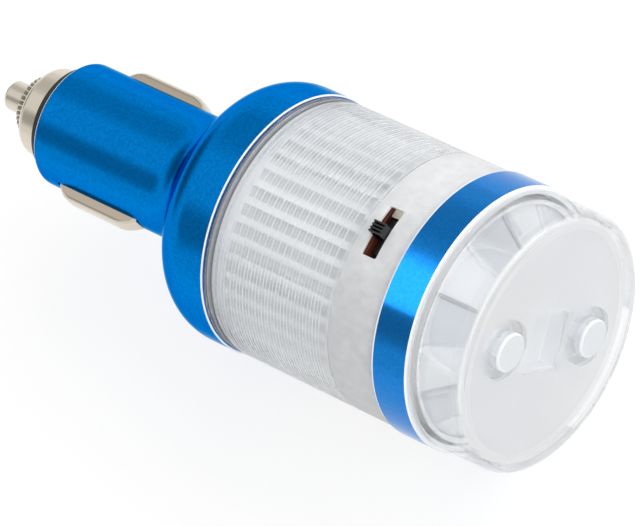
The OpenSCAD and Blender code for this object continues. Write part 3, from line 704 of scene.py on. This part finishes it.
def shadeFlutes(mat):  # painted shade: colour by the distance from the axis, darker between the flutes
    place = nodeIn(mat, "TexCoord")
    split = nodeIn(mat, "SeparateXYZ")
    flat = nodeIn(mat, "CombineXYZ")
    size = nodeIn(mat, "VectorMath", operation="LENGTH")
    level = nodeIn(mat, "MapRange")
    level.inputs["From Min"].default_value = (fluteRoot + 0.1) * mm
    level.inputs["From Max"].default_value = (sleeveR - 0.1) * mm
    ramp = nodeIn(mat, "ValToRGB")
    ramp.color_ramp.elements[0].color = sleeve["valleyShadeColour"]
    ramp.color_ramp.elements[1].color = sleeve["crestColour"]
    link(mat, place.outputs["Object"], split.inputs[0])
    link(mat, split.outputs["Y"], flat.inputs["Y"])
    link(mat, split.outputs["Z"], flat.inputs["Z"])
    link(mat, flat.outputs[0], size.inputs[0])
    link(mat, size.outputs["Value"], level.inputs["Value"])
    link(mat, level.outputs[0], ramp.inputs["Fac"])
    link(mat, ramp.outputs["Color"], mat.node_tree.nodes["Principled BSDF"].inputs["Base Color"])


def buildSleeve():
    crest, slope, edge = sleeve["crest"], sleeve["slope"], sleeve["edge"]
    flute = [(0, sleeveR), (crest / 2, sleeveR), (crest, sleeveR)]
    flute += [(crest + slope, fluteRoot), ((1 + crest) / 2, fluteRoot), (1 - slope, fluteRoot)]
    step = 2 * pi / sleeve["flutes"]
    outer = [(r, step * (i + t)) for i in range(sleeve["flutes"]) for t, r in flute]
    inR = sleeveR - sleeve["wall"]
    rings = []
    for x, less in ((sleeveX, edge), (sleeveX + edge, 0), (sleeveEnd - edge, 0), (sleeveEnd, edge)):
        rings.append([(x, (r - less) * cos(a), (r - less) * sin(a)) for r, a in outer])
    for x in (sleeveEnd, sleeveX):
        rings.append([(x, inR * cos(a), inR * sin(a)) for r, a in outer])
    piece = lofted("diffuserSleeve", rings, 25, looped=True)
    paint(piece, diffuserPlastic)
    finishPiece(piece, "root", "diffuser_plastic", "diffuser_sleeve")


shadeFlutes(diffuserPlastic)
buildSleeve()
print("lantern done")

# switch collar and switch

collar = {"wall": 1.4, "roof": 0.6, "edge": 0.14, "windowIn": 1.2, "windowEnd": 4.4, "windowLen": 8.4,
          "windowW": 2.8, "windowRound": 0.3}
switch = {"wall": 0.7, "lid": 0.4, "slotMid": -0.3, "slotLen": 7.2, "lap": 0.3, "laminate": 1.5,
          "knobLen": 2.0, "knobW": 2.4, "knobY": 0.15, "ridges": 4, "ridgeW": 0.3, "ridgeH": 0.32,
          "sliderT": 0.8}
windowX = boxOf("switch_housing")[0].x + collar["windowIn"]
windowStart = collar["windowEnd"] - collar["windowLen"]


def buildCollar():
    wall, roofR = collar["wall"], lensR - collar["roof"]
    inside, spigotX = lensIn - 0.1, sleeveEnd + 0.1
    outline = filleted([
        (spigotX, inside, 0.15), (bandX, inside), (bandX, lensR, 0.12), (ringX, lensR, 0.1), (ringX, spigotR),
        (collarFront, spigotR, 0.15), (collarFront, lensIn - wall), (ringX - 0.5, lensIn - wall),
        (ringX - 1.5, lensIn), (bandX + 1, lensIn), (bandX, inside - wall), (spigotX, inside - wall)], 4)
    piece = turned("switchCollar", outline, 256)
    low, high = boxOf("switch_housing")
    back = boxOf("switch_base")[0].x
    halfW, end = collar["windowW"] / 2, collar["windowEnd"]
    windowLow, windowHigh = (windowX - halfW, windowStart, low.z), (windowX + halfW, end, lensR + 2)
    carve(piece, block("window", windowLow, windowHigh, collar["windowRound"]))
    pocket = block("pocket", (back - 0.1, low.y - 0.1, low.z - 0.1), (high.x + 0.1, high.y + 0.1, lensR))
    roof = turned("roof", [(bandX, 0), (bandX, roofR), (ringX, roofR), (ringX, 0)], 256, closed=False)
    carve(pocket, roof, "INTERSECT")
    carve(piece, pocket)
    bevelEdges(piece, collar["edge"], 3, 50)
    paint(piece, frostedPlastic, paintedEdgeLight)
    for face in piece.data.polygons:  # painted highlight on the window's edge
        spot = face.center / mm
        outward = face.normal.y * spot.y + face.normal.z * spot.z
        nearWindow = abs(spot.x - windowX) < halfW + 0.15 and windowStart - 0.15 < spot.y < end + 0.15
        atWindow = nearWindow and spot.z > roofR - 1.2
        face.material_index = 1 if atWindow and outward < 0.97 * hypot(spot.y, spot.z) else 0
    finishPiece(piece, "root", "frosted_plastic", "switch_collar")


def buildHousing():
    wall, mid, halfSlot = switch["wall"], switch["slotMid"], switch["slotLen"] / 2
    low, high = boxOf("switch_housing")
    piece = block("switchHousing", low, high, 0.12)
    back, front = low.x - 1, high.x - wall
    cavityTop = high.z - switch["lid"]
    carve(piece, block("cavity", (back, low.y + wall, low.z + wall), (front, high.y - wall, cavityTop)))
    carve(piece, block("opening", (back, mid - halfSlot, low.z + 2), (front, mid + halfSlot, high.z + 1)))
    bevelEdges(piece, 0.05, 2, 50)
    paint(piece, creamPlastic)
    finishPiece(piece, "root", "cream_plastic", "switch_housing")


def buildBase():
    back, top = boxOf("switch_base")
    housingTop = boxOf("switch_housing")[1].z
    start, end = windowStart - switch["lap"], collar["windowEnd"] + switch["lap"]
    piece = block("switchBase", (back.x, back.y, back.z), (top.x, top.y, housingTop), 0.08)
    edge = block("laminateEdge", (back.x, start, housingTop - switch["laminate"]), (top.x, end, top.z), 0.14)
    carve(piece, edge, "UNION")
    paint(piece, laminate)
    finishPiece(piece, "root", "fibre", "switch_base")


def buildKnob():
    low, high = boxOf("switch_housing")
    under, over = boxOf("switch_knob")
    back, front = low.x + 0.1, windowX + switch["knobW"] / 2
    start, end = switch["knobY"] - switch["knobLen"] / 2, switch["knobY"] + switch["knobLen"] / 2
    browBack, browLow = front - switch["knobW"], boxOf("switch_base")[1].z + 0.1
    blockTop = over.z - switch["ridgeH"]
    sliderTop = (high.x - switch["wall"] - 0.1, over.y, under.z + switch["sliderT"])
    piece = block("switchKnob", (back, under.y, under.z), sliderTop, 0.08)
    body = block("knobBody", (back, start, under.z + 0.1), (front, end, blockTop + 0.1), 0.18)
    brow = block("knobBrow", (browBack, start, browLow), (front - 0.3, end, blockTop + 0.1), 0.12)
    ridges = []
    for i, y in enumerate(spread(start, end - switch["ridgeW"], switch["ridges"] - 1)):
        ridgeTop = (front - 0.12, y + switch["ridgeW"], over.z)
        ridges.append(block("ridge%d" % i, (browBack, y, blockTop - 0.3), ridgeTop, 0.09))
    joinInto(piece, body, brow, *ridges)
    paint(piece, knobPlastic)
    finishPiece(piece, "knob", "black_plastic", "switch_knob")


buildCollar()
buildHousing()
buildBase()
buildKnob()
print("switch done")

# torch head

head = {"throatR": 4.2, "mouthR": 13.0, "skirtR": 18.6, "thick": 1.1, "lipR": 0.28, "throatIn": 1.5,
        "mouthOut": 4.5, "ribs": 14, "ribHalf": 0.3, "ribRise": 0.45}
throatX = ringX + head["throatIn"]
mouthFront = capX + head["mouthOut"]
focus = (head["mouthR"] ** 2 - head["throatR"] ** 2) / (4 * (mouthFront - throatX))
bowlX = mouthFront - head["mouthR"] ** 2 / (4 * focus)


def bowlPoint(r):  # on the parabola of the bowl
    return bowlX + r * r / (4 * focus), r


def coneRibs():
    mouth, skirt, half = head["mouthR"], head["skirtR"], head["ribHalf"]
    lean = atan2(skirt - mouth, mouthFront - capX)
    slope = hypot(skirt - mouth, mouthFront - capX)
    onCone = Matrix.Translation(Vector((capX, skirt, 0)) * mm) @ Matrix.Rotation(-lean, 4, "Z")
    ribs = []
    for i in range(head["ribs"]):
        rib = block("rib%d" % i, (0.35, -0.5, -half), (slope - 0.5, head["ribRise"], half), 0.12)
        rib.data.transform(onCone)
        rollBy(rib, 360 * i / head["ribs"])
        ribs.append(rib)
    return ribs


def buildReflector():
    throat, mouth, skirt, thick = head["throatR"], head["mouthR"], head["skirtR"], head["thick"]
    bowl = [bowlPoint(r) for r in spread(throat, mouth, 32)]
    lip = arcLine(mouthFront - 0.25, mouth + head["lipR"], head["lipR"], 200, 40, 6)
    outer = [(capX, skirt), (capBack, skirt), (capBack, spigotR), (collarFront, spigotR)]
    outer += [(collarFront, skirt - thick), (capX - 0.5, skirt - thick)]
    back = [(x, r + thick) for x, r in map(bowlPoint, spread(mouth - 1, throat, 20))]
    piece = turned("reflector", bowl + lip + outer + back, 224, creaseAngle=28)
    bare = len(piece.data.polygons)
    joinInto(piece, *coneRibs())
    paint(piece, mirrorPlate, panelPaintedReflection, ribPaintedReflection)
    sector = 360 / head["ribs"]
    for face in piece.data.polygons:  # painted reflection: every other panel of the cone and every other rib is darker, for the room mirrored in them
        x, r = placeOf(face)
        turn = atan2(face.center.z, face.center.y) * 180 / pi
        if face.index >= bare:
            face.material_index = 2 if round(turn / sector) % 2 == 0 else 0
        elif x > capX - 0.1 and r > mouth + 0.4:
            face.material_index = 1 if int(turn % 360 // sector) % 2 == 0 else 0
    finishPiece(piece, "root", "mirror_plate", "reflector")


buildReflector()

cap = {"wall": 1.4, "round": 1.3, "ledge": 0.55, "skirtGap": 0.15, "seat": 1.15, "frostRim": 1.5,
       "angle": 122.0, "blockSide": 9.4, "blockDeep": 3.2, "bossWall": 1.5, "bossDeep": 1.0,
       "magnetOrbit": 10.45, "magnetR": 3.1, "magnetT": 3.0, "proud": 0.4, "play": 0.1}
inFace = faceX - cap["wall"]
magnetFront = faceX + cap["proud"]
magnetBack = magnetFront - cap["magnetT"]
holeR = cap["magnetR"] + cap["play"]
bossX = magnetBack - cap["bossDeep"]
bossR = holeR + cap["bossWall"]


def addBlockAndBosses(piece):
    for turn in (0, 180):
        outline = filleted([(bossX, 0), (bossX, bossR, 0.3), (inFace + 0.2, bossR), (inFace + 0.2, 0)], 5)
        boss = turned("boss", outline, 64, closed=False)
        moveOut(boss, cap["magnetOrbit"], cap["angle"] + turn)
        carve(piece, boss, "UNION")
    half = cap["blockSide"] / 2
    lump = block("lensBlock", (inFace - cap["blockDeep"], -half, -half), (inFace + 0.2, half, half), 0.25)
    rollBy(lump, cap["angle"])
    carve(piece, lump, "UNION")
    for turn in (0, 180):
        outline = filleted([(magnetBack, 0), (magnetBack, holeR, 0.1), (faceX + 2, holeR), (faceX + 2, 0)], 3)
        hole = turned("hole", outline, 64, closed=False)
        moveOut(hole, cap["magnetOrbit"], cap["angle"] + turn)
        carve(piece, hole)


def buildCap():
    inner, shoulder = capR - cap["wall"], capX + 0.02
    ledgeX, ledgeR = capX + cap["ledge"], head["skirtR"] + cap["skirtGap"]
    outline = filleted([
        (faceX, 0), (inFace, 0), (inFace, inner - cap["frostRim"]), (inFace, inner, 0.5), (ledgeX, inner),
        (ledgeX - 0.1, ledgeR), (capBack, ledgeR), (capBack, spigotR, 0.1), (shoulder, spigotR),
        (shoulder, capR, 0.12), (capX + cap["seat"], capR), (faceX, capR, cap["round"])], 10)
    piece = turned("frontCap", outline[1:] + outline[:1], 224)
    addBlockAndBosses(piece)
    paint(piece, clearCap, milkyFace, paintedEdgeLight, rimBand)
    half = cap["blockSide"] / 2 + 0.01
    magnets = [Vector((way * cap["magnetOrbit"], 0)) for way in (-1, 1)]
    for face in piece.data.polygons:  # the inner side of the face and the two seats are frosted
        x, r = placeOf(face)
        spot = Vector((face.center.y, face.center.z)) / mm
        spot.rotate(Matrix.Rotation(radians(-cap["angle"]), 2))
        onBlock = abs(spot.x) < half and abs(spot.y) < half and capX + 4 < x < inFace - 0.01
        nearBoss = min((spot - magnet).length for magnet in magnets) < bossR + 0.01
        onBoss = nearBoss and bossX - 0.01 < x < inFace - 0.01
        lensBack = onBlock or onBoss or abs(x - inFace) < 0.02 and face.normal.x < -0.9
        rim = inFace - 0.55 < x < inFace + 0.05 and inner - cap["frostRim"] < r < inner - 0.02
        # the foot is painted opaque white, a painted light band beside the ring
        foot = x < ledgeX + 0.02 and r < inner + 0.02 or x < capX + 0.14
        seat = x < capX + cap["seat"] and r > capR - 0.2
        face.material_index = 2 if foot else 3 if rim else 1 if lensBack or seat else 0
    finishPiece(piece, "root", "clear_plastic", "front_cap")


def buildMagnet(name, node, degrees):
    backEdge, frontEdge = (magnetBack, cap["magnetR"], 0.2), (magnetFront, cap["magnetR"], 0.35)
    outline = filleted([(magnetBack, 0), backEdge, frontEdge, (magnetFront, 0)], 6)
    piece = turned(name, outline, 96, closed=False)
    paint(piece, magnetNickel, cutEdgeAndHighlight)
    for face in piece.data.polygons:  # painted highlight on the rounded edge and the side
        face.material_index = 1 if face.center.x > magnetBack * mm and abs(face.normal.x) < 0.97 else 0
    moveOut(piece, cap["magnetOrbit"], degrees)
    finishPiece(piece, "root", "nickel", node)


torch = {"seat": 1.3, "half": 2.5, "height": 0.8, "domeR": 2.0, "domeIn": 0.6}


def buildTorchLight():
    half, domeR, seat = torch["half"], torch["domeR"], ringX + torch["seat"]
    domeStart = seat + torch["domeIn"]
    piece = block("torchLight", (seat, -half, -half), (seat + torch["height"], half, half), 0.18)
    outline = arcLine(domeStart, 0, domeR, 0, 90, 12) + [(domeStart - 0.1, domeR), (domeStart - 0.1, 0)]
    joinInto(piece, turned("dome", outline, 96, closed=False))
    paint(piece, phosphor)
    finishPiece(piece, "root", "phosphor", "torch_light")


buildCap()
buildMagnet("magnetLeft", "magnet_left", cap["angle"])
buildMagnet("magnetRight", "magnet_right", cap["angle"] + 180)
buildTorchLight()
print("torch head done")

# the other nodes keep their solids, with rounded edges and a finish

dressing = {
    "insulator_core": (blackPlastic, 0.08), "rear_plate": (boardWhite, 0.08),
    "front_plate": (blackPlastic, 0.08), "pin_washer": (laminate, 0.05), "fuse_glass": (fuseGlass, 0),
    "fuse_caps": (nickel, 0.06), "fuse_stud": (brass, 0.06), "earth_strips": (brass, 0.04),
    "charge_board": (boardGreen, 0.05), "board_parts": (componentGrey, 0.12),
    "board_screws": (springSteel, 0.05), "cells": (cellWrap, 0.15), "cell_tabs": (springSteel, 0.04),
    "lantern_board": (boardWhite, 0.05), "lantern_lights": (phosphor, 0.1), "torch_board": (boardWhite, 0.05),
    "switch_pins": (springSteel, 0.04)}


def dress(node, mat, edge):
    piece = nodes[node]
    paint(piece, mat)
    weld = piece.modifiers.new("weld", "WELD")
    weld.merge_threshold = 1e-6
    if edge:
        addBevel(piece, edge, 2, 35, True)


for node, (mat, edge) in dressing.items():
    dress(node, mat, edge)
print("frame nodes dressed:", len(dressing))

# the springs, each a smoothed copy of its node's mesh

springs = [
    {"name": "fuseSpring", "node": "fuse_spring", "joint": "pin_press", "travel": 2.4, "axis": (1, 0, 0),
     "seat": "high"},
    {"name": "leafSpringLeft", "node": "leaf_spring_left", "joint": "contact_left_press", "travel": 1.3,
     "axis": (0, 1, 0), "seat": "low"},
    {"name": "leafSpringRight", "node": "leaf_spring_right", "joint": "contact_right_press", "travel": 1.3,
     "axis": (0, 1, 0), "seat": "high"}]


def buildSpring(spring):
    piece = bpy.data.objects.new(spring["name"], nodes[spring["node"]].data.copy())
    bpy.context.scene.collection.objects.link(piece)
    soften(piece, 40)
    paint(piece, springSteel)
    finishPiece(piece, "root", "spring_steel", spring["node"])
    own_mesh(piece)


for spring in springs:
    buildSpring(spring)
print("springs done:", len(springs))

# floor, light and camera: places in metres, angles in degrees, the lens in millimetres

stage = {"floorZ": -0.0215, "floorSize": 6.0, "glow": 0.78, "albedo": 0.27}


def seenWay(owner, level):  # the level for camera, glossy and transmission rays, and 0 for the others
    path = nodeIn(owner, "LightPath")
    most = nodeIn(owner, "Math", operation="MAXIMUM")
    more = nodeIn(owner, "Math", operation="MAXIMUM")
    scaled = nodeIn(owner, "Math", operation="MULTIPLY")
    scaled.inputs[1].default_value = level
    link(owner, path.outputs["Is Camera Ray"], most.inputs[0])
    link(owner, path.outputs["Is Glossy Ray"], most.inputs[1])
    link(owner, most.outputs[0], more.inputs[0])
    link(owner, path.outputs["Is Transmission Ray"], more.inputs[1])
    link(owner, more.outputs[0], scaled.inputs[0])
    return scaled.outputs[0]


def buildFloor():
    half, z = stage["floorSize"] / 2, stage["floorZ"]
    mesh = bpy.data.meshes.new("floor")
    corners = [(-half, -half, z), (half, -half, z), (half, half, z), (-half, half, z)]
    mesh.from_pydata(corners, [], [(0, 1, 2, 3)])
    floor = bpy.data.objects.new("floor", mesh)
    bpy.context.scene.collection.objects.link(floor)
    mat = bpy.data.materials.new("floor_white")
    mat.use_nodes = True
    tree = mat.node_tree
    tree.nodes.remove(tree.nodes["Principled BSDF"])
    matt = nodeIn(mat, "BsdfDiffuse", Color=(stage["albedo"],) * 3 + (1,))
    glow = nodeIn(mat, "Emission")
    both = nodeIn(mat, "AddShader")
    link(mat, seenWay(mat, stage["glow"]), glow.inputs["Strength"])
    link(mat, matt.outputs[0], both.inputs[0])
    link(mat, glow.outputs[0], both.inputs[1])
    link(mat, both.outputs[0], tree.nodes["Material Output"].inputs["Surface"])
    paint(floor, mat)


room = {"white": 1.0, "diffuse": 0.54, "glossy": 0.88}
patches = [{"way": (-0.6, -0.62, 0.5), "inner": 4, "outer": 20, "low": 0.44},
           {"way": (-0.99, 0.03, 0.1), "inner": 5, "outer": 27, "low": 0.26},
           {"way": (-0.58, 0.56, 0.59), "inner": 3, "outer": 27, "low": 0.62}]


def dimPatch(world, patch, place, before):  # dims a round part of the room, which the metal mirrors
    facing = nodeIn(world, "VectorMath", operation="DOT_PRODUCT")
    facing.inputs[1].default_value = Vector(patch["way"]).normalized()
    near = nodeIn(world, "MapRange", interpolation_type="SMOOTHSTEP")
    near.inputs["From Min"].default_value = cos(radians(patch["outer"]))
    near.inputs["From Max"].default_value = cos(radians(patch["inner"]))
    dim = nodeIn(world, "Mix", data_type="FLOAT")
    dim.inputs["A"].default_value = room["glossy"]
    dim.inputs["B"].default_value = patch["low"]
    link(world, place.outputs["Generated"], facing.inputs[0])
    link(world, facing.outputs["Value"], near.inputs["Value"])
    link(world, near.outputs[0], dim.inputs["Factor"])
    if before:
        link(world, before, dim.inputs["A"])
    return dim.outputs["Result"]


def buildWorld():
    world = bpy.data.worlds.new("studio")
    bpy.context.scene.world = world
    world.use_nodes = True
    back = world.node_tree.nodes["Background"]
    path = nodeIn(world, "LightPath")
    place = nodeIn(world, "TexCoord")
    mirrored = None
    for patch in patches:
        mirrored = dimPatch(world, patch, place, mirrored)
    gloss = nodeIn(world, "Mix", data_type="FLOAT")
    gloss.inputs["A"].default_value = room["diffuse"]
    link(world, path.outputs["Is Glossy Ray"], gloss.inputs["Factor"])
    link(world, mirrored, gloss.inputs["B"])
    white = nodeIn(world, "Math", operation="MAXIMUM")
    link(world, path.outputs["Is Camera Ray"], white.inputs[0])
    link(world, path.outputs["Is Transmission Ray"], white.inputs[1])
    level = nodeIn(world, "Mix", data_type="FLOAT")
    level.inputs["B"].default_value = room["white"]
    link(world, white.outputs[0], level.inputs["Factor"])
    link(world, gloss.outputs["Result"], level.inputs["A"])
    link(world, level.outputs["Result"], back.inputs["Strength"])
    back.inputs["Color"].default_value = (1, 1, 1, 1)


softbox = {"place": (-0.18, -0.105, 0.43), "size": (0.36, 0.45), "radiance": 1.75, "fade": 0.36,
           "lights": ["trimRing"]}


def buildSoftbox():  # it lights the trim ring only, and fades towards one edge
    light = bpy.data.lights.new("softbox", "AREA")
    light.shape = "RECTANGLE"
    light.size, light.size_y = softbox["size"]
    light.energy = softbox["radiance"] * pi * light.size * light.size_y
    light.use_nodes = True
    place = nodeIn(light, "NewGeometry")
    split = nodeIn(light, "SeparateXYZ")
    fade = nodeIn(light, "MapRange", interpolation_type="SMOOTHSTEP")
    fade.inputs["From Min"].default_value = 1.0
    fade.inputs["From Max"].default_value = 1 - softbox["fade"]
    link(light, place.outputs["Parametric"], split.inputs[0])
    link(light, split.outputs["Y"], fade.inputs["Value"])
    link(light, fade.outputs[0], light.node_tree.nodes["Emission"].inputs["Strength"])
    lamp = bpy.data.objects.new("softbox", light)
    lamp.location = softbox["place"]
    lamp.visible_camera = False
    bpy.context.scene.collection.objects.link(lamp)
    lit = bpy.data.collections.new("litBySoftbox")
    for name in softbox["lights"]:
        lit.objects.link(bpy.data.objects[name])
    lamp.light_linking.receiver_collection = lit


fills = [{"place": (0.1, 0.6, 0.42), "size": 0.7, "power": 3.4},
         {"place": (0.75, 0.1, 0.3), "size": 0.6, "power": 2.8},
         {"place": (0.25, -0.7, 0.07), "size": 0.5, "power": 1.8}]


def buildFill(name, fill):  # a lamp that is seen in no reflection
    light = bpy.data.lights.new(name, "AREA")
    light.size = fill["size"]
    light.energy = fill["power"]
    lamp = bpy.data.objects.new(name, light)
    lamp.location = fill["place"]
    lamp.rotation_euler = (-Vector(fill["place"])).to_track_quat("-Z", "Y").to_euler()
    lamp.visible_camera = lamp.visible_glossy = lamp.visible_transmission = False
    bpy.context.scene.collection.objects.link(lamp)


view = {"place": (0.456637, -0.134421, 0.621317), "right": (0.75069, 0.5206, -0.40674),
        "up": (-0.35302, 0.83649, 0.41912), "back": (0.55843, -0.17104, 0.81173),
        "lens": 279.5, "sensor": 36.0, "near": 0.05, "far": 20.0}


def buildCamera():
    data = bpy.data.cameras.new("camera")
    data.lens, data.sensor_width = view["lens"], view["sensor"]
    data.clip_start, data.clip_end = view["near"], view["far"]
    eye = bpy.data.objects.new("camera", data)
    turn = Matrix([view["right"], view["up"], view["back"]]).transposed().to_4x4()
    eye.matrix_world = Matrix.Translation(view["place"]) @ turn
    bpy.context.scene.collection.objects.link(eye)
    bpy.context.scene.camera = eye


buildFloor()
buildWorld()
buildSoftbox()
for i, fill in enumerate(fills):
    buildFill("fill%d" % i, fill)
buildCamera()
bpy.context.scene.view_settings.view_transform = "Standard"
bounces = bpy.context.scene.cycles
bounces.max_bounces, bounces.glossy_bounces = 24, 16
bounces.transmission_bounces, bounces.transparent_max_bounces = 24, 16
print("stage, light and camera set")
